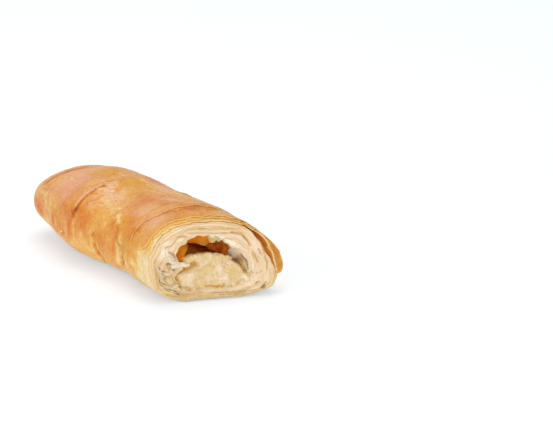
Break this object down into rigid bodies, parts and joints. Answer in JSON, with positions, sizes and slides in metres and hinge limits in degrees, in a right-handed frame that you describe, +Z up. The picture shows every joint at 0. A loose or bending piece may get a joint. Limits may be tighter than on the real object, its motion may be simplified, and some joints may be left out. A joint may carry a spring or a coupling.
{
  "type": "chicken filo roll",
  "caption": "Baked filo pastry roll cut open on the slant, with browned flaky sheets round a creamy shredded chicken filling.",
  "frame": {"origin": "bottom centre of the bounding box, on the floor that the roll rests on", "axes": "+X along the roll from its closed end to its cut face, +Y across the roll towards the far side of the cut, where the sheets curl out, +Z up"},
  "size_m": [0.1136, 0.0506, 0.0332],
  "materials": {
    "baked_filo": "golden-brown baked crust with a soft sheen, pale cream where it is cut",
    "chicken_filling": "moist cream-coloured shreds in sauce"
  },
  "bodies": {
    "root": {"pastry": "baked_filo", "filling": "chicken_filling"}
  },
  "joints": []
}
